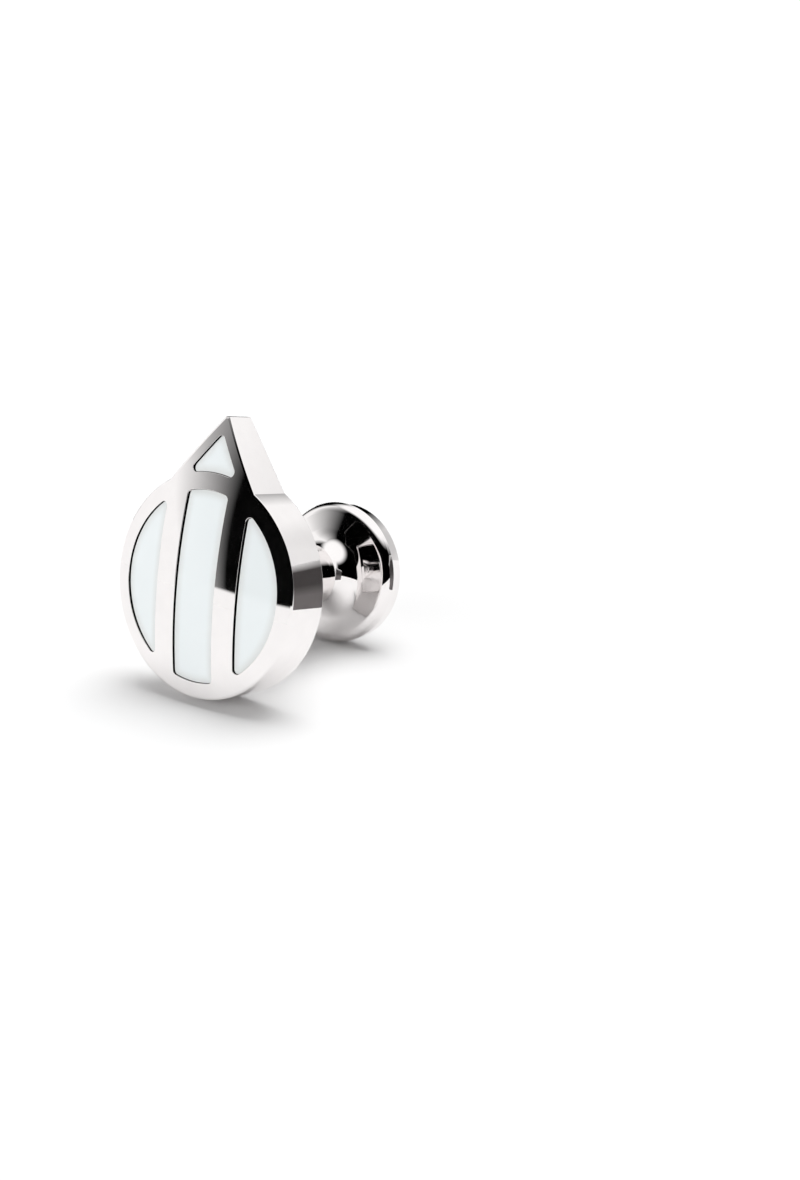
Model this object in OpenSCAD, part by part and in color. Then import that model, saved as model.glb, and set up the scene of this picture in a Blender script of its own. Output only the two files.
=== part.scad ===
// Fixed-back cufflink: a domed plate in the shape of a disc with a pointed tip, enamel in its
// front, and a round post that ends in a trumpet-shaped button. It rests on the back rim of the
// plate and the rim of the button, with the tip up. Millimetres, +Z up, front towards -Y.

/* [Face plate] */
// Radius of the round part of the plate
disc_r = 8; // [7.5:0.5:9]
// Thickness of the plate at its rim
plate_t = 3.4; // [3:0.1:4.4]
// Height of the domed front above the rim
face_rise = 0.9; // [0.6:0.1:1]
// How far the tip stands out of the disc
tip_len = 3.9; // [3.4:0.1:4.4]
// Width of the blunt end of the tip
tip_flat = 0.36; // [0.2:0.02:0.8]
// Angle at the middle of the disc between the tip's axis and the corner where its side ends
tip_spread = 28.5; // [27:0.5:31]

/* [Enamel cells] */
// Width of the metal border round the cells in the disc
border_w = 1.2; // [0.9:0.1:1.5]
// Width of the metal border beside the cell in the tip
tip_border_w = 0.8; // [0.6:0.1:0.9]
// Width of each upright metal bar between the cells
bar_w = 1.8; // [1.2:0.1:2]
// Width of the middle cell
middle_w = 3.6; // [2.8:0.1:4]
// Radius of the rounded corners of the cells
corner_r = 0.35; // [0.2:0.05:0.4]
// Depth of the cells under the domed front
cell_depth = 1; // [0.6:0.1:1.1]
// How far the enamel lies under the metal around it
enamel_sink = 0.12; // [0.05:0.01:0.2]
// Gap round the enamel
enamel_gap = 0.03; // [0.02:0.01:0.05]

/* [Collar and post] */
// Radius of the collar on the back of the plate
collar_r = 4.4; // [3.8:0.1:5]
// Height of the raised ring at the edge of the collar
collar_ring_h = 0.25; // [0.15:0.05:0.4]
// Radial width of that ring
collar_ring_w = 0.3; // [0.2:0.05:0.5]
// Height of the collar's cone at the post
collar_cone_h = 0.5; // [0.3:0.05:0.8]
// Radius of the post
post_r = 1.9; // [1.4:0.1:2.1]
// Radius of the bead round the post, in section
bead_r = 0.3; // [0.2:0.05:0.4]

/* [Button] */
// Distance from the back of the plate to the widest edge of the button
clasp_len = 12; // [10:0.1:15]
// Largest radius of the button
button_r = 5.5; // [5:0.1:6.4]
// How much narrower the button's side is where the dome begins
button_draft = 0.1; // [0:0.05:0.2]
// Length of the button's side
button_side = 1.4; // [0.8:0.1:2]
// Height of the button's outer dome
button_rise = 1; // [0.6:0.1:1.4]
// Radial width of the sloped edge round the button's inner face
lip_w = 0.6; // [0.3:0.1:0.8]
// Height of that sloped edge
lip_h = 0.3; // [0.2:0.05:0.4]
// Height of the trumpet-shaped inner face
trumpet_h = 2; // [1.6:0.1:2.1]
// Radius of the hollow curve where the trumpet runs into the post
neck_curve_r = 1.2; // [0.6:0.1:1.3]

/* [Hidden] */
$fn = 128;
// Facets of the large spheres
SPHERE_FN = 360;
// How far a chord may lie inside the arc that it stands for
ARC_SAG = 0.006;
// Gap between pieces that sit against each other
SEAT_GAP = 0.02;
// Overlap that makes a cut run past the face it starts from
CUT = 1;

// Radius of a sphere cap from its base radius and its height
function cap_r(base, rise) = (base * base + rise * rise) / (2 * rise);

tip_reach = disc_r + tip_len;
button_edge_r = button_r - button_draft;
face_sphere_r = cap_r(disc_r, face_rise);
dome_sphere_r = cap_r(button_edge_r, button_rise);

// Distances along the axis, from the plane of the front rim towards the button
button_widest = plate_t + clasp_len;
button_edge = button_widest + button_side;
button_lip = button_widest - lip_h;
button_neck = button_lip - trumpet_h;
dome_centre = button_edge + button_rise - dome_sphere_r;

// The trumpet's wall is a large arc, square to the axis at the lip, that runs on into the small
// arc of the neck. Their middles lie on one line with the point where they meet.
trumpet_w = button_r - lip_w - post_r;
bell_r = (pow(trumpet_w - neck_curve_r, 2) + pow(trumpet_h, 2) - pow(neck_curve_r, 2))
    / (2 * (trumpet_h - neck_curve_r));
bell_middle = [button_r - lip_w, button_lip - bell_r];
neck_middle = [post_r + neck_curve_r, button_neck];
meeting_dir = (neck_middle - bell_middle) / norm(neck_middle - bell_middle);

// Angle by which the front leans back when the plate and the button touch the surface
tilt = atan(min((disc_r - button_r) / clasp_len,
                (disc_r - button_edge_r) / (clasp_len + button_side)));
// Height of the middle of the front rim above the surface
axis_lift = disc_r * cos(tilt) + plate_t * sin(tilt);
// Depth range of the resting cufflink, measured from the middle of the front rim
front_reach = face_sphere_r - (face_sphere_r - face_rise) * cos(tilt);
back_reach = dome_sphere_r + dome_centre * cos(tilt);

// Corner of the tip's side on the disc, its blunt end, and the outward normal of that side
tip_corner = disc_r * [sin(tip_spread), cos(tip_spread)];
tip_end = [tip_flat / 2, tip_reach];
side_dir = (tip_end - tip_corner) / norm(tip_end - tip_corner);
side_normal = [side_dir.y, -side_dir.x];

cell_r = disc_r - border_w;
side_cell_x = middle_w / 2 + bar_w;

// Stands the cufflink, drawn with its axis along Z and its tip along Y, on its two rims
module resting() {
    translate([0, (front_reach - back_reach) / 2, axis_lift])
        rotate([90 - tilt, 0, 0])
            children();
}

// Draws a section, given as radius and distance behind the front rim, round the axis
module turned() {
    mirror([0, 0, 1])
        rotate_extrude()
            children();
}

// Points along an arc about a centre, from one angle to another
function arc(centre, r, from, to) =
    let (steps = ceil(abs(to - from) / (2 * acos(1 - ARC_SAG / r))))
    [for (i = [0:steps]) let (a = from + (to - from) * i / steps) centre + r * [cos(a), sin(a)]];

// The same arc without its end points
function arc_inside(centre, r, from, to) =
    let (points = arc(centre, r, from, to))
    [for (i = [1:len(points) - 2]) points[i]];

// Middle cell of the disc, drawn smaller by the gap: two upright sides between two arcs
module middle_cell_outline(gap) {
    r = cell_r - gap;
    fillet = corner_r - gap;
    x = middle_w / 2 - gap - fillet;
    y = sqrt(pow(r - fillet, 2) - x * x);
    turn = atan2(y, x);
    upper = concat(arc([x, y], fillet, 0, turn),
                   arc_inside([0, 0], r, turn, 180 - turn),
                   arc([-x, y], fillet, 180 - turn, 180));
    polygon(concat(upper, -upper));
}

// Right-hand cell of the disc: one upright side and the disc's own arc
module side_cell_outline(gap) {
    r = cell_r - gap;
    fillet = corner_r - gap;
    x = side_cell_x + gap + fillet;
    y = sqrt(pow(r - fillet, 2) - x * x);
    turn = atan2(y, x);
    polygon(concat(arc([x, y], fillet, turn, 180),
                   arc([x, -y], fillet, 180, 360 - turn),
                   arc_inside([0, 0], r, -turn, turn)));
}

// Cell in the tip: two sides beside the tip's own, on a base that follows the disc
module tip_cell_outline(gap) {
    fillet = corner_r - gap;
    base_r = disc_r + gap;
    side_reach = side_normal * tip_end - tip_border_w - gap;
    side_angle = atan2(side_normal.y, side_normal.x);
    foot_angle = side_angle + acos((side_reach - fillet) / (base_r + fillet));
    foot = (base_r + fillet) * [cos(foot_angle), sin(foot_angle)];
    top = [0, (side_reach - fillet) / side_normal.y];
    polygon(concat(arc(foot, fillet, foot_angle - 180, side_angle),
                   arc(top, fillet, side_angle, 180 - side_angle),
                   arc([-foot.x, foot.y], fillet, 180 - side_angle, 360 - foot_angle),
                   arc_inside([0, 0], base_r, 180 - foot_angle, foot_angle)));
}

// Dome that lies a given depth under the front, as a solid ball
module under_front(depth) {
    translate([0, 0, face_rise - face_sphere_r])
        sphere(face_sphere_r - depth, $fn = SPHERE_FN);
}

// Upright prism of an outline, from the back of the plate to in front of the dome
module upright() {
    translate([0, 0, -plate_t])
        linear_extrude(plate_t + face_rise + CUT)
            children();
}

module cell_cut() {
    difference() {
        upright()
            children();
        under_front(cell_depth);
    }
}

module enamel_fill() {
    color("azure")
        resting()
            difference() {
                intersection() {
                    upright()
                        children();
                    under_front(enamel_sink);
                }
                under_front(cell_depth - SEAT_GAP);
            }
}

// Disc with its domed front, as one section turned round the axis
module plate_disc() {
    rotate_extrude()
        intersection() {
            translate([0, face_rise - face_sphere_r])
                circle(face_sphere_r, $fn = SPHERE_FN);
            translate([0, -plate_t])
                square([disc_r, plate_t + face_rise + CUT]);
        }
}

// Tip, which carries the dome of the disc on down to its blunt end
module plate_tip() {
    intersection() {
        upright()
            polygon([[0, disc_r / 2], tip_corner, tip_end,
                     [-tip_end.x, tip_end.y], [-tip_corner.x, tip_corner.y]]);
        under_front(0);
    }
}

module face_plate() {
    color("gainsboro")
        resting()
            difference() {
                union() {
                    plate_disc();
                    plate_tip();
                }
                for (side = [0, 1])
                    mirror([side, 0, 0])
                        cell_cut()
                            side_cell_outline(0);
                cell_cut()
                    middle_cell_outline(0);
                cell_cut()
                    tip_cell_outline(0);
            }
}

module enamel_left() {
    enamel_fill()
        mirror([1, 0])
            side_cell_outline(enamel_gap);
}

module enamel_middle() {
    enamel_fill()
        middle_cell_outline(enamel_gap);
}

module enamel_right() {
    enamel_fill()
        side_cell_outline(enamel_gap);
}

module enamel_tip() {
    enamel_fill()
        tip_cell_outline(enamel_gap);
}

// Flat washer with a raised ring at its edge and a low cone up to the post
module collar() {
    seat = plate_t + SEAT_GAP;
    bore_r = post_r + SEAT_GAP;
    ring_r = collar_r - collar_ring_w;
    cone_foot = collar_ring_h / 2;
    cone_top_r = bore_r + bead_r;
    color("silver")
        resting()
            turned()
                polygon([[bore_r, seat], [collar_r, seat], [collar_r, seat + collar_ring_h],
                         [ring_r, seat + collar_ring_h], [ring_r, seat + cone_foot],
                         [cone_top_r, seat + collar_cone_h], [bore_r, seat + collar_cone_h]]);
}

// Plain round post with a bead that covers the inner edge of the collar
module post() {
    start = plate_t + SEAT_GAP;
    bead_at = start + collar_cone_h + SEAT_GAP + bead_r;
    color("silver")
        resting()
            turned() {
                translate([0, start])
                    square([post_r, button_neck - SEAT_GAP - start]);
                difference() {
                    translate([post_r, bead_at])
                        circle(bead_r);
                    translate([-post_r, 0])
                        square([2 * post_r - bead_r / 2, button_neck]);
                }
            }
}

// Round button: trumpet-shaped towards the plate, sloped lip, nearly straight side, outer dome
module button() {
    color("gainsboro")
        resting()
            turned() {
                difference() {
                    translate([0, button_neck])
                        square([button_r - lip_w, button_edge - button_neck]);
                    translate(neck_middle)
                        circle(neck_curve_r);
                    intersection() {
                        translate(bell_middle)
                            circle(bell_r);
                        polygon([bell_middle, bell_middle + 2 * bell_r * meeting_dir,
                                 bell_middle + [0, 2 * bell_r]]);
                    }
                }
                polygon([[0, button_lip], [button_r - lip_w, button_lip], [button_r, button_widest],
                         [button_edge_r, button_edge], [0, button_edge]]);
                intersection() {
                    translate([0, dome_centre])
                        circle(dome_sphere_r, $fn = SPHERE_FN);
                    translate([0, button_edge - CUT / 2])
                        square([button_edge_r, button_rise + CUT]);
                }
            }
}

face_plate();
enamel_left();
enamel_middle();
enamel_right();
enamel_tip();
collar();
post();
button();
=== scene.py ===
from math import acos, asin, atan, atan2, cos, hypot, pi, radians, sin, sqrt, tan

import bpy
import numpy as np
from mathutils import Matrix, Vector
from mathutils.geometry import delaunay_2d_cdt


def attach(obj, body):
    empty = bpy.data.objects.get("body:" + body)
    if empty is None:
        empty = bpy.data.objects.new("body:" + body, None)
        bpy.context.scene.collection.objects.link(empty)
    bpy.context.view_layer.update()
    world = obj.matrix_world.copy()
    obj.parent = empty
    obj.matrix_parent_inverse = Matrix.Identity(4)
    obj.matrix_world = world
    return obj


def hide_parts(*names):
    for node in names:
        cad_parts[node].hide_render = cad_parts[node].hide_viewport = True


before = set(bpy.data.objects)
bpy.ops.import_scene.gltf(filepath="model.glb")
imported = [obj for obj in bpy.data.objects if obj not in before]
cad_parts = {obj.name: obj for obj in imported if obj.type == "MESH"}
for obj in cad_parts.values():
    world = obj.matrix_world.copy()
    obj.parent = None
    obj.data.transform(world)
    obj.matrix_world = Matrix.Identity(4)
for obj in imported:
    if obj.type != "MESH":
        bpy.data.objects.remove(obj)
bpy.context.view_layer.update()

# Sizes of the cufflink in millimetres. Its own axes: X to the side, Y to the tip, Z out of the
# front; the front rim lies at Z = 0.
MM = 0.001

# Plate: a disc with a pointed tip, domed in front
DISC_R = 8
PLATE_T = 3.4
FACE_RISE = 0.9
TIP_REACH = 11.9
TIP_FLAT = 0.36
TIP_SPREAD = radians(28.5)

# Shallow bevel between the domed front and the rounded edge of the plate
BEVEL_W = 0.1
BEVEL_TURN = radians(70)

# Cells in the front, and the enamel in them, whose seam is wider where its edge faces left
BORDER_W = 1.2
TIP_BORDER_W = 0.8
BAR_W = 1.8
MIDDLE_W = 3.6
CORNER_R = 0.35
CELL_DEPTH = 1
ENAMEL_SINK = 0.12
ENAMEL_DEPTH = 0.98
ENAMEL_GAP = 0.02
LEFT_SEAM = 0.08

# Collar and post, each clear of the piece that it is seated on
SEAT_GAP = 0.02
COLLAR_R = 4.4
COLLAR_RING_H = 0.25
COLLAR_RING_W = 0.3
COLLAR_CONE_H = 0.5
POST_R = 1.9
BEAD_R = 0.3

# Button, whose trumpet runs from a sloping lip to the neck at the post
CLASP_LEN = 12
BUTTON_R = 5.5
BUTTON_EDGE_R = 5.4
BUTTON_SIDE = 1.4
BUTTON_RISE = 1
LIP_W = 0.8
LIP_H = 0.3
LIP_FLANK_W = 0.25
LIP_FLANK_H = 0.66
LIP_SLOPE = radians(12)
TRUMPET_H = 2
NECK_ARC_R = 2.1
NECK_LEAD = 0.42
NECK_SEAM = 0.003

# Radii of the rounded edges
PLATE_EDGE = 0.06
POCKET_EDGE = 0.03
ENAMEL_EDGE = 0.04
COLLAR_EDGE = 0.06
BUTTON_EDGE = 0.1
LIP_EDGE = 0.05
LIP_ROUND = 0.9
SHARP = 0

# Steps along the outlines and round the turned pieces, and the spacing of points on the faces
DISC_STEPS = 180
SIDE_STEPS = 20
TIP_END_STEPS = 2
CELL_STEPS = 60
FILLET_STEPS = 10
EDGE_STEPS = 6
PROFILE_STEPS = 28
TURN_STEPS = 256
GRID = 0.4
ENAMEL_GRID = 0.2

# Decimals at which two points are the same, and settings of the triangulation
WELD_DECIMALS = 5
TRIANGLES_INSIDE = 1
NEARNESS = 1e-6


def cap_radius(base, rise):
    """Radius of the sphere whose cap has this base radius and rise."""
    return (base * base + rise * rise) / (2 * rise)


FACE_SPHERE_R = cap_radius(DISC_R, FACE_RISE)
DOME_SPHERE_R = cap_radius(BUTTON_EDGE_R, BUTTON_RISE)

# Distances behind the front rim
BUTTON_WIDEST = PLATE_T + CLASP_LEN
BUTTON_EDGE_AT = BUTTON_WIDEST + BUTTON_SIDE
BUTTON_LIP = BUTTON_WIDEST - LIP_H
BUTTON_NECK = BUTTON_LIP - TRUMPET_H
DOME_CENTRE = BUTTON_EDGE_AT + BUTTON_RISE - DOME_SPHERE_R

# Middle of the neck's curve, as radius and distance behind the rim
NECK_MIDDLE = (POST_R + NECK_ARC_R, BUTTON_NECK - NECK_LEAD)

# How the cufflink stands on the rims of the disc and the button
TILT = atan((DISC_R - BUTTON_EDGE_R) / (CLASP_LEN + BUTTON_SIDE))
AXIS_LIFT = DISC_R * cos(TILT) + PLATE_T * sin(TILT)
FRONT_REACH = FACE_SPHERE_R - (FACE_SPHERE_R - FACE_RISE) * cos(TILT)
BACK_REACH = DOME_SPHERE_R + DOME_CENTRE * cos(TILT)
DEPTH_SHIFT = (FRONT_REACH - BACK_REACH) / 2

# From the cufflink's own axes in millimetres to the frame in metres, with the tip up
TURN = Matrix.Rotation(pi / 2 - TILT, 4, "X")
PLACE = Matrix.Translation((0, DEPTH_SHIFT * MM, AXIS_LIFT * MM)) @ TURN @ Matrix.Scale(MM, 4)

# The right side of the tip, as the line at SIDE_REACH from the disc's middle
SIDE_ANGLE = atan2(DISC_R * sin(TIP_SPREAD) - TIP_FLAT / 2, TIP_REACH - DISC_R * cos(TIP_SPREAD))
SIDE_REACH = TIP_FLAT / 2 * cos(SIDE_ANGLE) + TIP_REACH * sin(SIDE_ANGLE)
CELL_R = DISC_R - BORDER_W

# Metal: colours and roughness between which its haze varies, and the ripple left by polishing.
# Scales count noise cells to a metre.
METAL_SHADE = (0.85, 0.825, 0.82, 1)
METAL_PALE = (0.91, 0.885, 0.88, 1)
METAL_ROUGHNESS = (0.015, 0.05)
HAZE_SCALE = 900
HAZE_DETAIL = 4
RIPPLE_SCALE = 400
RIPPLE_STRENGTH = 0.02
RIPPLE_HEIGHT = 0.05 * MM

# Enamel: its clouds, and painted shade on its rim and in its seam, with widths from its edge in
# millimetres
ENAMEL_SHADE = (0.82, 0.87, 0.88, 1)
ENAMEL_PALE = (0.85, 0.89, 0.90, 1)
ENAMEL_RIM_SHADE = (0.75, 0.77, 0.765, 1)
ENAMEL_SEAM_SHADE = (0.01, 0.01, 0.01, 1)
ENAMEL_ROUGHNESS = 0.08
CLOUD_SCALE = 300
RIM_SHADE_W = 0.7
SEAM_SHADE_FULL_W = 0.002
SEAM_SHADE_END_W = 0.02

# Lights that polished metal mirrors, white at strength 1. Angles are in degrees: azimuths from +Y
# towards +X, and heights above the horizon. On its left, a light begins at one azimuth and is full
# at another; where these lean, they change by the lean with each degree of height. On its right,
# it starts to fade at one azimuth and ends at another. Its heights are where it begins, is full,
# starts to fade and ends.

# Soft box on the left; the azimuth where it is full also moves by the bend between two heights
BOX_LIGHT = 1.06
BOX_BEGINS = -149.8
BOX_BEGINS_LEAN = 0.15
BOX_FULL = -137
BOX_FULL_LEAN = 0.75
BOX_BEND = 16
BOX_BEND_HEIGHTS = (20, 35)
BOX_RIGHT = (-88, -66)
BOX_HEIGHTS = (-21, -20, 52, 75)

# Screen behind on the right. Its foot has a light of its own, which changes between two azimuths
# and reaches the screen's light between two heights. The screen shows at the ray depth of a
# first mirror and is dark at that of a second.
SCREEN_LIGHT = 1.06
SCREEN_BEGINS = -13
SCREEN_LEAN = -0.8
SCREEN_LEFTMOST = -26.6
SCREEN_FULL = 0
SCREEN_FULL_HIGH = -4
SCREEN_FULL_HEIGHTS = (17, 24)
SCREEN_RIGHT = (57, 69)
SCREEN_HEIGHTS = (-1, 0, 90, 91)
SCREEN_FOOT_LIGHTS = (0.66, 0.92)
SCREEN_FOOT_AZIMUTHS = (18, 28)
SCREEN_FOOT_HEIGHTS = (15, 26)
FIRST_MIRROR = 2
SECOND_MIRROR = 3

# Ceiling light round a direction, with the cosines from it where it begins and where it is full
CEILING_LIGHT = 1.12
CEILING_TOWARDS = (0.05, 0.25, 0.967)
CEILING_COSINES = (0.62, 0.86)

# Bright ground below the horizon, which is lower in the directions that the camera looks in. That
# stretch begins and is full at the first two azimuths, and starts to end and ends at the others.
GROUND_LIGHT = 1.05
HORIZON = 0.6
HORIZON_BLUR = 0.6
LOW_HORIZON = -7
LOW_BEGINS = (-50, -44)
LOW_ENDS = (-20, -14)

# Lights for matt surfaces, and the white that the camera sees behind everything
OVERHEAD_LIGHT = 4.43
OVERHEAD_TOWARDS = (0.05, 0.27, 0.96)
OVERHEAD_COSINES = (0.80, 0.99)
FRONT_LIGHT = 1.79
FRONT_TOWARDS = (-0.1, -1, 0.09)
FRONT_COSINES = (0.615, 0.95)
FILL_LIGHT = 0.19
BACKDROP_LIGHT = 1.2
WHITE = (1, 1, 1, 1)

# Camera from the photograph's outlines, with no roll and no shift: its place and its range in
# metres, its lens and film in millimetres
CAMERA_AT = (0.06668, -0.08097, 0.040666)
CAMERA_YAW = radians(34.43)
CAMERA_PITCH = radians(18.34)
CAMERA_NEAR = 0.001
CAMERA_FAR = 50
LENS = 30
FILM_H = 24

# Floor in metres
FLOOR_HALF = 0.12
FLOOR_WHITE = (0.9, 0.9, 0.9, 1)

# Dark card in metres, a painted reflection that only the polished metal mirrors. The foot's shade
# passes into the card's own, and that into the head's, each between two shares of its height. Its
# sides thin out from one distance from its middle to another, given as shares of its width.
CARD_AT = (0.0207, 0.0098)
CARD_YAW = radians(-37)
CARD_W = 0.014
CARD_H = 0.0136
CARD_SHADE = (0.07, 0.065, 0.065, 1)
CARD_FOOT_SHADE = (0.17, 0.16, 0.16, 1)
CARD_HEAD_SHADE = (0.8, 0.8, 0.8, 1)
CARD_FOOT = (0.32, 0.55)
CARD_HEAD = (0.85, 1)
CARD_SIDES = (0.36, 0.5)


class Shell:
    """A mesh in the making, whose face corners each keep the exact normal of their surface."""

    def __init__(self):
        self.points = []
        self.faces = []
        self.normals = []
        self.index = {}

    def vertex(self, point):
        key = tuple(round(c, WELD_DECIMALS) for c in point)
        if key not in self.index:
            self.index[key] = len(self.points)
            self.points.append(point)
        return self.index[key]

    def face(self, *corners):
        """Adds a face from (point, normal) corners, without those that fall together."""
        ids = [self.vertex(point) for point, normal in corners]
        kept = [k for k in range(len(ids)) if ids[k] != ids[k - 1]]
        if len(kept) > 2:
            self.faces.append([ids[k] for k in kept])
            self.normals.extend(corners[k][1] for k in kept)

    def strip(self, lower, upper):
        """Quads between two equally long rows of (point, normal)."""
        for a, b, c, d in zip(lower, lower[1:], upper[1:], upper):
            self.face(a, b, c, d)

    def strips(self, rows):
        for lower, upper in zip(rows, rows[1:]):
            self.strip(lower, upper)

    def fill(self, outer, holes, surface, up=True, grid=GRID):
        """Triangles over the area between an outline and its holes, on surface(x, y). They face
        out of the front, or with up=False to the back."""
        for corners in triangles(outer, holes, grid):
            self.face(*[surface(x, y) for x, y in (corners if up else reversed(corners))])

    def build(self, name, material):
        """Makes the object, placed in the frame."""
        mesh = bpy.data.meshes.new(name)
        mesh.from_pydata([PLACE @ Vector(p) for p in self.points], [], self.faces)
        mesh.polygons.foreach_set("use_smooth", [True] * len(mesh.polygons))
        turn = TURN.to_3x3()
        mesh.normals_split_custom_set([(turn @ Vector(n)).normalized() for n in self.normals])
        mesh.materials.append(material)
        piece = bpy.data.objects.new(name, mesh)
        bpy.context.scene.collection.objects.link(piece)
        return piece


def inside(loop, points):
    """Which points lie inside a closed outline, by counting the edges that a ray crosses."""
    a = np.array([p[:2] for p in loop])
    b = np.roll(a, -1, axis=0)
    x, y = points[:, :1], points[:, 1:]
    spans = (a[:, 1] > y) != (b[:, 1] > y)
    rise = np.where(a[:, 1] == b[:, 1], 1, b[:, 1] - a[:, 1])
    crossing = a[:, 0] + (y - a[:, 1]) * (b[:, 0] - a[:, 0]) / rise
    return (spans & (x < crossing)).sum(axis=1) % 2 == 1


def triangles(outer, holes, step):
    """Triangles, as three (x, y) points each, between an outline and its holes. They join the
    outlines' points and those of a grid that stay half a step clear of them."""
    loops = [outer, *holes]
    rim = [p[:2] for loop in loops for p in loop]
    edges = []
    for loop in loops:
        start = len(edges)
        edges += [(start + k, start + (k + 1) % len(loop)) for k in range(len(loop))]
    ends = np.array(rim)
    low, high = ends.min(axis=0), ends.max(axis=0)
    grid = np.array([(x, y) for x in np.arange(low[0], high[0], step)
                     for y in np.arange(low[1], high[1], step)])
    if len(grid):
        room = np.array([np.hypot(*(ends - p).T).min() for p in grid])
        grid = grid[(room > step / 2) & inside(outer, grid)]
    for hole in holes:
        grid = grid[~inside(hole, grid)]
    places = rim + [tuple(p) for p in grid]
    result = delaunay_2d_cdt([Vector(p) for p in places], edges, [], TRIANGLES_INSIDE, NEARNESS)
    faces, origin = result[2:4]
    found = [[places[origin[k][0]] for k in face] for face in faces]
    middles = np.array([np.mean(f, axis=0) for f in found])
    keep = inside(outer, middles)
    for hole in holes:
        keep &= ~inside(hole, middles)
    return [f for f, kept in zip(found, keep) if kept]


def spread(start, end, steps):
    """Evenly spaced values, with both ends."""
    return [start + (end - start) * k / steps for k in range(steps + 1)]


def arc(centre, r, start, end, steps, side=1):
    """Points (x, y, nx, ny) along an arc, with normals away from the centre, or with -1 to it."""
    return [(centre[0] + r * cos(a), centre[1] + r * sin(a), side * cos(a), side * sin(a))
            for a in spread(start, end, steps)]


def line(start, end, steps):
    """Points (x, y, nx, ny) along a line, with normals to its right."""
    dx, dy = end[0] - start[0], end[1] - start[1]
    length = hypot(dx, dy)
    return [(start[0] + dx * k / steps, start[1] + dy * k / steps, dy / length, -dx / length)
            for k in range(steps + 1)]


def mirrored(point):
    return (-point[0], point[1])


def plate_outline(inset):
    """The plate's outline as four stretches: the disc, and the tip's side, end and other side."""
    r = DISC_R - inset
    reach = SIDE_REACH - inset
    turn = SIDE_ANGLE + acos(reach / r)
    corner = (r * cos(turn), r * sin(turn))
    end_y = TIP_REACH - inset
    end = ((reach - end_y * sin(SIDE_ANGLE)) / cos(SIDE_ANGLE), end_y)
    return [
        arc((0, 0), r, pi - turn, 2 * pi + turn, DISC_STEPS),
        line(corner, end, SIDE_STEPS),
        line(end, mirrored(end), TIP_END_STEPS),
        line(mirrored(end), mirrored(corner), SIDE_STEPS),
    ]


def joined(*stretches):
    """One closed outline from stretches that meet end to end."""
    return [p for stretch in stretches for p in stretch[:-1]]


def middle_cell(gap):
    """Upright cell in the middle of the disc, drawn in by a gap."""
    r = CELL_R - gap
    fillet = CORNER_R - gap
    x = MIDDLE_W / 2 - CORNER_R
    y = sqrt((r - fillet) ** 2 - x * x)
    turn = atan2(y, x)
    side = MIDDLE_W / 2 - gap
    return joined(
        arc((x, y), fillet, 0, turn, FILLET_STEPS),
        arc((0, 0), r, turn, pi - turn, CELL_STEPS),
        arc((-x, y), fillet, pi - turn, pi, FILLET_STEPS),
        line((-side, y), (-side, -y), CELL_STEPS),
        arc((-x, -y), fillet, pi, pi + turn, FILLET_STEPS),
        arc((0, 0), r, pi + turn, 2 * pi - turn, CELL_STEPS),
        arc((x, -y), fillet, 2 * pi - turn, 2 * pi, FILLET_STEPS),
        line((side, -y), (side, y), CELL_STEPS),
    )


def right_cell(gap):
    """Cell between the right bar and the border, drawn in by a gap."""
    r = CELL_R - gap
    fillet = CORNER_R - gap
    side = MIDDLE_W / 2 + BAR_W + gap
    x = side + fillet
    y = sqrt((r - fillet) ** 2 - x * x)
    turn = atan2(y, x)
    return joined(
        arc((x, y), fillet, turn, pi, FILLET_STEPS),
        line((side, y), (side, -y), CELL_STEPS),
        arc((x, -y), fillet, pi, 2 * pi - turn, FILLET_STEPS),
        arc((0, 0), r, -turn, turn, CELL_STEPS),
    )


def left_cell(gap):
    return [(-x, y, -nx, ny) for x, y, nx, ny in reversed(right_cell(gap))]


def tip_cell(gap):
    """Rounded triangle in the tip, on a base that follows the disc, drawn in by a gap."""
    fillet = CORNER_R - gap
    base_r = DISC_R + gap
    reach = SIDE_REACH - TIP_BORDER_W - gap
    foot_turn = SIDE_ANGLE + acos((reach - fillet) / (base_r + fillet))
    foot = ((base_r + fillet) * cos(foot_turn), (base_r + fillet) * sin(foot_turn))
    top = (0, (reach - fillet) / sin(SIDE_ANGLE))
    right_foot = arc(foot, fillet, foot_turn - pi, SIDE_ANGLE, FILLET_STEPS)
    peak = arc(top, fillet, SIDE_ANGLE, pi - SIDE_ANGLE, FILLET_STEPS)
    left_foot = arc(mirrored(foot), fillet, pi - SIDE_ANGLE, 2 * pi - foot_turn, FILLET_STEPS)
    return joined(
        right_foot,
        line(right_foot[-1], peak[0], SIDE_STEPS),
        peak,
        line(peak[-1], left_foot[0], SIDE_STEPS),
        left_foot,
        arc((0, 0), base_r, pi - foot_turn, foot_turn, SIDE_STEPS, side=-1),
    )


CELLS = {"left": left_cell, "middle": middle_cell, "right": right_cell, "tip": tip_cell}


def dome(x, y, depth=0):
    """Point and normal at a depth under the domed front."""
    r = FACE_SPHERE_R - depth
    height = sqrt(r * r - x * x - y * y)
    return (x, y, FACE_RISE - FACE_SPHERE_R + height), (x / r, y / r, height / r)


def flat_back(x, y):
    return (x, y, -PLATE_T), (0, 0, -1)


def edge_row(outline, surface, edge, turn, lower=0, outward=1):
    """One row of a rounded edge between a surface and the wall along an outline, turned from
    the wall (0) to the surface (a right angle). With outward -1 the wall faces inward."""
    row = []
    for x, y, nx, ny in outline:
        (px, py, pz), facing = surface(x, y)
        drop = (edge * (1 - sin(turn)) + lower) * (1 if facing[2] > 0 else -1)
        wall = (outward * nx, outward * ny, 0)
        normal = [cos(turn) * w + sin(turn) * f for w, f in zip(wall, facing)]
        row.append(((px, py, pz - drop), normal))
    return row


def edge_turns():
    return spread(0, pi / 2, EDGE_STEPS)


def closed(row):
    return row + row[:1]


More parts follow.
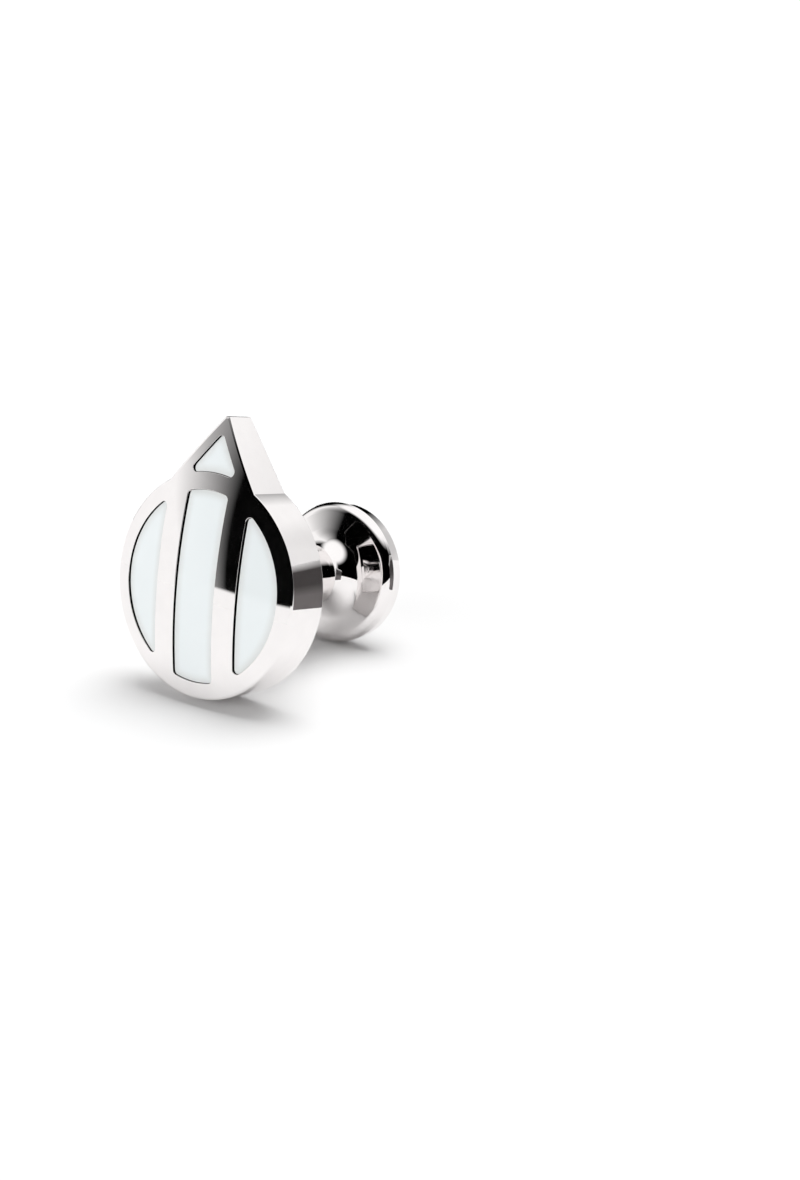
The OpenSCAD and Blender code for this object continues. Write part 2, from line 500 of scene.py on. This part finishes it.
def face_plate(material):
    """Polished plate: flat back, upright wall, domed front and the pockets for the enamel."""
    shell = Shell()

    def row(stretch, turn, surface, inset, drop=0):
        outline = plate_outline(inset + PLATE_EDGE * (1 - cos(turn)))[stretch]
        return edge_row(outline, surface, PLATE_EDGE, turn, drop)

    bevel_drop = BEVEL_W / tan(BEVEL_TURN)
    edge = [t for t in edge_turns() if t < BEVEL_TURN] + [BEVEL_TURN]
    brow = [BEVEL_TURN] + [t for t in edge_turns() if t > BEVEL_TURN]
    for stretch in range(len(plate_outline(0))):
        shell.strips([row(stretch, t, flat_back, 0) for t in reversed(edge_turns())]
                     + [row(stretch, t, dome, 0, bevel_drop) for t in edge]
                     + [row(stretch, t, dome, BEVEL_W) for t in brow])
    shell.fill(joined(*plate_outline(PLATE_EDGE)), [], flat_back, up=False)
    shell.fill(joined(*plate_outline(BEVEL_W + PLATE_EDGE)),
               [cell(-POCKET_EDGE) for cell in CELLS.values()], dome)

    for cell in CELLS.values():
        levels = [edge_row(cell(-POCKET_EDGE * (1 - cos(t))), dome, POCKET_EDGE, t, outward=-1)
                  for t in reversed(edge_turns())]
        foot = [(dome(x, y, CELL_DEPTH)[0], (-nx, -ny, 0)) for x, y, nx, ny in cell(0)]
        shell.strips([closed(row) for row in levels + [foot]])
        shell.fill(cell(0), [], lambda x, y: dome(x, y, CELL_DEPTH))
    return shell.build("polished_plate", material)


def enamel(name, cell, material):
    """Enamel fill: a slab with rounded edges that follows the dome a little below the metal.
    Its points keep their distance from its edge for the material, as shore."""
    shell = Shell()

    def outline(inset):
        """The cell's outline, set further in where it faces left."""
        return [(x + LEFT_SEAM * max(0, -nx), y, nx, ny)
                for x, y, nx, ny in cell(ENAMEL_GAP + inset)]

    def top(x, y):
        return dome(x, y, ENAMEL_SINK)

    def under(x, y):
        point, facing = dome(x, y, ENAMEL_DEPTH)
        return point, [-c for c in facing]

    foot = [(under(x, y)[0], (nx, ny, 0)) for x, y, nx, ny in outline(0)]
    levels = [edge_row(outline(ENAMEL_EDGE * (1 - cos(t))), top, ENAMEL_EDGE, t)
              for t in edge_turns()]
    shell.strips([closed(row) for row in [foot] + levels])
    shell.fill(outline(0), [], under, up=False)
    shell.fill(outline(ENAMEL_EDGE), [], top, grid=ENAMEL_GRID)
    piece = shell.build(name, material)

    edge = np.array([p[:2] for p in outline(0)])
    shore = [np.hypot(*(edge - point[:2]).T).min() for point in shell.points]
    piece.data.attributes.new("shore", "FLOAT", "POINT").data.foreach_set("value", shore)
    return piece


def unit(a, b):
    length = hypot(a, b)
    return a / length, b / length


def profile(corners):
    """Section of a turned piece from (radius, distance behind the rim, rounding) corners,
    as (r, s, nr, ns) points with the material to the right; a sharp corner starts a new run."""
    runs, run = [], []
    for k, (r, s, rounding) in enumerate(corners):
        before = corners[k - 1] if k else None
        after = corners[k + 1] if k + 1 < len(corners) else None
        normals = [unit(a[1] - b[1], b[0] - a[0]) for a, b in ((before, (r, s)), ((r, s), after))
                   if a and b]
        if len(normals) == 1 or rounding == SHARP:
            if before:
                run.append((r, s, *normals[0]))
                runs.append(run)
            run = [(r, s, *normals[-1])]
            continue
        (in_r, in_s), (out_r, out_s) = normals
        convex = 1 if in_r * out_s - in_s * out_r < 0 else -1
        reach = convex * rounding / (1 + in_r * out_r + in_s * out_s)
        centre = (r - reach * (in_r + out_r), s - reach * (in_s + out_s))
        for t in spread(0, 1, EDGE_STEPS):
            nr, ns = unit(in_r * (1 - t) + out_r * t, in_s * (1 - t) + out_s * t)
            run.append((centre[0] + convex * rounding * nr, centre[1] + convex * rounding * ns,
                        nr, ns))
    return [run for run in runs if run]


def bulge(middle, r, start, end, steps=PROFILE_STEPS):
    """Arc of a section round a point inside the metal, turned from straight behind that point
    (0) to straight out from the axis (a right angle)."""
    return [(middle[0] + r * sin(t), middle[1] + r * cos(t), sin(t), cos(t))
            for t in spread(start, end, steps)]


def hollow(middle, r, start, end):
    """Arc of a section round a point outside the metal, turned from straight behind that point
    (0) to straight in towards the axis (a right angle)."""
    return [(middle[0] - r * sin(t), middle[1] + r * cos(t), sin(t), -cos(t))
            for t in spread(start, end, PROFILE_STEPS)]


def turned(name, runs, material):
    """Piece turned round the axis from runs of (r, s, nr, ns) points."""
    shell = Shell()
    angles = spread(0, 2 * pi, TURN_STEPS)[:-1]
    for run in runs:
        rows = [closed([((r * cos(a), r * sin(a), -s), (nr * cos(a), nr * sin(a), -ns))
                        for a in angles]) for r, s, nr, ns in run]
        shell.strips(rows)
    return shell.build(name, material)


def collar(material):
    """Washer with a raised ring at its edge and a low cone up to the post."""
    seat = PLATE_T + SEAT_GAP
    bore = POST_R + SEAT_GAP
    ring = COLLAR_R - COLLAR_RING_W
    top = seat + COLLAR_RING_H
    cone_foot = seat + COLLAR_RING_H / 2
    cone_top = seat + COLLAR_CONE_H
    corners = [
        (bore, cone_top, SHARP),
        (bore + BEAD_R, cone_top, COLLAR_EDGE),
        (ring, cone_foot, COLLAR_EDGE),
        (ring, top, COLLAR_EDGE),
        (COLLAR_R, top, COLLAR_EDGE),
        (COLLAR_R, seat, SHARP),
        (bore, seat, SHARP),
        (bore, cone_top, SHARP),
    ]
    return turned("collar_washer", profile(corners), material)


def post(material):
    """Round post with a bead at the collar. Its back end flares a little, along the curve of
    the button's neck."""
    front = PLATE_T + SEAT_GAP
    back = BUTTON_NECK - NECK_SEAM
    flare = hollow(NECK_MIDDLE, NECK_ARC_R, acos((NECK_LEAD - NECK_SEAM) / NECK_ARC_R), pi / 2)
    bead_at = front + COLLAR_CONE_H + SEAT_GAP + BEAD_R
    runs = [
        *profile([(0, back, SHARP), (flare[0][0], back, SHARP)]),
        flare + [(POST_R, bead_at + BEAD_R, 1, 0)],
        bulge((POST_R, bead_at), BEAD_R, 0, pi),
        *profile([(POST_R, bead_at - BEAD_R, SHARP), (POST_R, front, SHARP), (0, front, SHARP)]),
    ]
    return turned("round_post", runs, material)


def button_back():
    """The button's domed outside, up to the rounded edge where its side begins."""
    rim_turn = asin(BUTTON_EDGE_R / DOME_SPHERE_R)
    rim_normal = (sin(rim_turn), cos(rim_turn))
    side_normal = unit(BUTTON_SIDE, BUTTON_R - BUTTON_EDGE_R)
    reach = BUTTON_EDGE / (1 + sum(a * b for a, b in zip(side_normal, rim_normal)))
    centre = (BUTTON_EDGE_R - reach * (side_normal[0] + rim_normal[0]),
              BUTTON_EDGE_AT - reach * (side_normal[1] + rim_normal[1]))
    outside = bulge((0, DOME_CENTRE), DOME_SPHERE_R, 0, rim_turn - reach / DOME_SPHERE_R)
    return outside + bulge(centre, BUTTON_EDGE, rim_turn, atan2(*side_normal), EDGE_STEPS)


def button_trumpet():
    """The button's inside: two arcs that meet smoothly, from the lip's slope to the neck."""
    start = (BUTTON_R - LIP_W, BUTTON_LIP - (LIP_W - LIP_FLANK_W) * tan(LIP_SLOPE))
    offset = (start[0] - NECK_MIDDLE[0], start[1] - NECK_MIDDLE[1])
    along = offset[0] * sin(LIP_SLOPE) - offset[1] * cos(LIP_SLOPE)
    bell_r = (NECK_ARC_R ** 2 - hypot(*offset) ** 2) / (2 * (along + NECK_ARC_R))
    bell_middle = (start[0] + bell_r * sin(LIP_SLOPE), start[1] - bell_r * cos(LIP_SLOPE))
    meeting = asin((bell_middle[0] - NECK_MIDDLE[0]) / (bell_r - NECK_ARC_R))
    bell = hollow(bell_middle, bell_r, LIP_SLOPE, meeting)
    return bell + hollow(NECK_MIDDLE, NECK_ARC_R, meeting, acos(NECK_LEAD / NECK_ARC_R))


def button(material):
    """Button: domed outside, nearly straight side, rounded lip and trumpet-shaped inside."""
    trumpet = button_trumpet()
    lip = profile([
        (BUTTON_EDGE_R, BUTTON_EDGE_AT, SHARP),
        (BUTTON_R, BUTTON_LIP + LIP_FLANK_H, LIP_EDGE),
        (BUTTON_R - LIP_FLANK_W, BUTTON_LIP, LIP_ROUND),
        (*trumpet[0][:2], SHARP),
    ])[0][1:-1]
    neck = profile([(trumpet[-1][0], BUTTON_NECK, SHARP), (0, BUTTON_NECK, SHARP)])
    return turned("trumpet_button", [button_back() + lip + trumpet, *neck], material)


class Wires:
    """Shader nodes that are wired up as they are added to a material or world."""

    def __init__(self, owner):
        owner.use_nodes = True
        self.tree = owner.node_tree
        self.tree.nodes.clear()

    def plug(self, value, socket):
        if isinstance(value, bpy.types.NodeSocket):
            self.tree.links.new(value, socket)
        else:
            socket.default_value = value

    def add(self, kind, inputs, **settings):
        """Adds a node, with inputs by name or number, and returns its outputs."""
        node = self.tree.nodes.new("ShaderNode" + kind)
        for name, value in settings.items():
            setattr(node, name, value)
        for name, value in inputs.items():
            self.plug(value, node.inputs[name])
        return node.outputs

    def math(self, operation, *values):
        node = self.tree.nodes.new("ShaderNodeMath")
        node.operation = operation
        for value, socket in zip(values, node.inputs):
            self.plug(value, socket)
        return node.outputs["Value"]

    def ramp(self, value, start, end, low=0, high=1, kind="LINEAR"):
        """Goes from low to high while the value goes from start to end, and stays there."""
        return self.add("MapRange", {"Value": value, "From Min": start, "From Max": end,
                                     "To Min": low, "To Max": high},
                        interpolation_type=kind)["Result"]

    def noise(self, place, scale, detail=2):
        return self.add("TexNoise", {"Vector": place, "Scale": scale, "Detail": detail})["Fac"]

    def mix(self, factor, a, b):
        return self.add("Mix", {"Factor": factor, "A": a, "B": b}, data_type="RGBA")["Result"]


def polished_metal():
    """Mirror-polished white gold, with a faint haze and the ripple that polishing leaves."""
    material = bpy.data.materials.new("polished_metal")
    w = Wires(material)
    place = w.add("TexCoord", {})["Object"]
    haze = w.noise(place, HAZE_SCALE, HAZE_DETAIL)
    ripple = w.add("Bump", {"Strength": RIPPLE_STRENGTH, "Distance": RIPPLE_HEIGHT,
                            "Height": w.noise(place, RIPPLE_SCALE)})["Normal"]
    surface = w.add("BsdfPrincipled", {
        "Base Color": w.mix(haze, METAL_SHADE, METAL_PALE),
        "Metallic": 1,
        "Roughness": w.ramp(haze, 0, 1, *METAL_ROUGHNESS),
        "Normal": ripple,
    })
    w.add("OutputMaterial", {"Surface": surface["BSDF"]})
    return material


def white_enamel():
    """Glossy white enamel, slightly bluish, with painted shade: greyer near its edge, where the
    metal rises beside it, and near black in its seam at the metal."""
    material = bpy.data.materials.new("white_enamel")
    w = Wires(material)
    place = w.add("TexCoord", {})["Object"]
    shore = w.add("Attribute", {}, attribute_name="shore")["Fac"]
    cloud = w.mix(w.noise(place, CLOUD_SCALE), ENAMEL_SHADE, ENAMEL_PALE)
    # Painted shade: greyer near the edge, where the metal rises beside the enamel
    glaze = w.mix(w.ramp(shore, 0, RIM_SHADE_W, kind="SMOOTHSTEP"), ENAMEL_RIM_SHADE, cloud)
    # Painted shade in the seam: near black on the enamel's sides and outermost edge, so the gap to
    # the metal reads dark
    surface = w.add("BsdfPrincipled", {
        "Base Color": w.mix(w.ramp(shore, SEAM_SHADE_FULL_W, SEAM_SHADE_END_W), ENAMEL_SEAM_SHADE, glaze),
        "Roughness": ENAMEL_ROUGHNESS,
    })
    w.add("OutputMaterial", {"Surface": surface["BSDF"]})
    return material


def studio():
    """A white studio. Matt surfaces are lit from overhead, from the front and a little from all
    round. Polished ones mirror the soft box on the left, the screen behind on the right, the
    ceiling light and the ground, with the dark room between them."""
    world = bpy.data.worlds.new("studio")
    w = Wires(world)
    ray = w.add("TexCoord", {})["Generated"]
    xyz = w.add("SeparateXYZ", {"Vector": ray})
    azimuth = w.math("DEGREES", w.math("ARCTAN2", xyz["X"], xyz["Y"]))
    height = w.math("DEGREES", w.math("ARCSINE", xyz["Z"]))
    path = w.add("LightPath", {})

    def zone(strength, azimuths, heights):
        """Light in a zone, whose sides each begin, are full, start to fade and end."""
        light = strength
        for angle, (begin, full, fade, end) in ((azimuth, azimuths), (height, heights)):
            light = w.math("MULTIPLY", light, w.ramp(angle, begin, full))
            light = w.math("MULTIPLY", light, w.ramp(angle, end, fade))
        return light

    def lobe(strength, towards, cosines):
        """Light round a direction, which grows from the first cosine to full at the second."""
        toward = w.add("VectorMath", {0: ray, 1: Vector(towards).normalized()},
                       operation="DOT_PRODUCT")["Value"]
        return w.math("MULTIPLY", strength, w.ramp(toward, *cosines, kind="SMOOTHSTEP"))

    def leaning(at_horizon, lean):
        """Azimuth of an edge that leans as it rises."""
        return w.math("MULTIPLY_ADD", height, lean, at_horizon)

    def soft_box():
        bend = w.ramp(height, *BOX_BEND_HEIGHTS, 0, BOX_BEND)
        full = w.math("ADD", leaning(BOX_FULL, BOX_FULL_LEAN), bend)
        begins = leaning(BOX_BEGINS, BOX_BEGINS_LEAN)
        return zone(BOX_LIGHT, (begins, full, *BOX_RIGHT), BOX_HEIGHTS)

    def screen():
        """Dimmer at its foot, and dark in what is mirrored twice."""
        begins = w.math("MAXIMUM", leaning(SCREEN_BEGINS, SCREEN_LEAN), SCREEN_LEFTMOST)
        full = w.ramp(height, *SCREEN_FULL_HEIGHTS, SCREEN_FULL, SCREEN_FULL_HIGH)
        foot = w.ramp(azimuth, *SCREEN_FOOT_AZIMUTHS, *SCREEN_FOOT_LIGHTS)
        light = w.ramp(height, *SCREEN_FOOT_HEIGHTS, foot, SCREEN_LIGHT)
        once = w.ramp(path["Ray Depth"], SECOND_MIRROR, FIRST_MIRROR)
        light = w.math("MULTIPLY", light, once)
        return zone(light, (begins, full, *SCREEN_RIGHT), SCREEN_HEIGHTS)

    def ground():
        begins = w.ramp(azimuth, *LOW_BEGINS)
        ends = w.ramp(azimuth, *reversed(LOW_ENDS))
        horizon = w.ramp(w.math("MULTIPLY", begins, ends), 0, 1, HORIZON, LOW_HORIZON)
        full = w.math("SUBTRACT", horizon, HORIZON_BLUR)
        return w.ramp(height, horizon, full, 0, GROUND_LIGHT)

    mirrored_light = soft_box()
    for light in (screen(), lobe(CEILING_LIGHT, CEILING_TOWARDS, CEILING_COSINES), ground()):
        mirrored_light = w.math("MAXIMUM", mirrored_light, light)
    overhead = lobe(OVERHEAD_LIGHT, OVERHEAD_TOWARDS, OVERHEAD_COSINES)
    front = lobe(FRONT_LIGHT, FRONT_TOWARDS, FRONT_COSINES)
    matt_light = w.math("ADD", w.math("ADD", overhead, front), FILL_LIGHT)
    strength = w.math("MULTIPLY_ADD", path["Is Glossy Ray"],
                      w.math("SUBTRACT", mirrored_light, matt_light), matt_light)
    backdrop = w.math("MULTIPLY", path["Is Camera Ray"], BACKDROP_LIGHT)
    strength = w.math("MAXIMUM", strength, backdrop)
    background = w.add("Background", {"Color": WHITE, "Strength": strength})
    w.add("OutputWorld", {"Surface": background["Background"]})
    return world


def add_camera():
    data = bpy.data.cameras.new("camera")
    data.sensor_fit = "VERTICAL"
    data.sensor_height = FILM_H
    data.lens = LENS
    data.clip_start = CAMERA_NEAR
    data.clip_end = CAMERA_FAR
    camera = bpy.data.objects.new("camera", data)
    camera.location = CAMERA_AT
    camera.rotation_euler = (pi / 2 - CAMERA_PITCH, 0, CAMERA_YAW)
    bpy.context.scene.collection.objects.link(camera)
    bpy.context.scene.camera = camera


def add_sheet(name, corners, material):
    """A flat sheet in the scene, not attached to the cufflink."""
    mesh = bpy.data.meshes.new(name)
    mesh.from_pydata(corners, [], [tuple(range(len(corners)))])
    mesh.materials.append(material)
    sheet = bpy.data.objects.new(name, mesh)
    bpy.context.scene.collection.objects.link(sheet)
    return sheet


def add_floor():
    """Matt white floor that ends outside the camera's view."""
    paint = bpy.data.materials.new("floor_paint")
    w = Wires(paint)
    surface = w.add("BsdfPrincipled", {
        "Base Color": FLOOR_WHITE,
        "Roughness": 1,
        "Specular IOR Level": 0,
    })
    w.add("OutputMaterial", {"Surface": surface["BSDF"]})
    low, high = -FLOOR_HALF, FLOOR_HALF
    corners = [(low, low, 0), (high, low, 0), (high, high, 0), (low, high, 0)]
    add_sheet("floor", corners, paint)


def add_card():
    """Dark card beside the cufflink, hidden from the camera, from matt surfaces and from shadows:
    a painted reflection, a dark band that only the polished metal mirrors.
    """
    paint = bpy.data.materials.new("card_paint")
    w = Wires(paint)
    xyz = w.add("SeparateXYZ", {"Vector": w.add("TexCoord", {})["Object"]})
    foot = w.ramp(xyz["Z"], *[share * CARD_H for share in CARD_FOOT])
    head = w.ramp(xyz["Z"], *[share * CARD_H for share in CARD_HEAD])
    shade = w.mix(head, w.mix(foot, CARD_FOOT_SHADE, CARD_SHADE), CARD_HEAD_SHADE)
    thin = w.ramp(w.math("ABSOLUTE", xyz["X"]), *[share * CARD_W for share in CARD_SIDES])
    surface = w.add("MixShader", {
        "Fac": thin,
        1: w.add("BsdfDiffuse", {"Color": shade})["BSDF"],
        2: w.add("BsdfTransparent", {})["BSDF"],
    })
    w.add("OutputMaterial", {"Surface": surface["Shader"]})
    left, right = -CARD_W / 2, CARD_W / 2
    corners = [(left, 0, 0), (right, 0, 0), (right, 0, CARD_H), (left, 0, CARD_H)]
    card = add_sheet("card", corners, paint)
    card.location = (*CARD_AT, 0)
    card.rotation_euler = (0, 0, CARD_YAW)
    card.visible_camera = False
    card.visible_diffuse = False
    card.visible_shadow = False


metal = polished_metal()
glaze = white_enamel()

pieces = {
    "face_plate": face_plate(metal),
    "collar": collar(metal),
    "post": post(metal),
    "button": button(metal),
}
for place, cell in CELLS.items():
    pieces["enamel_" + place] = enamel("enamel_fill_" + place, cell, glaze)

for node, piece in pieces.items():
    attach(piece, "root")
    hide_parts(node)

add_camera()
add_floor()
add_card()
bpy.context.scene.world = studio()
bpy.context.scene.view_settings.view_transform = "Standard"
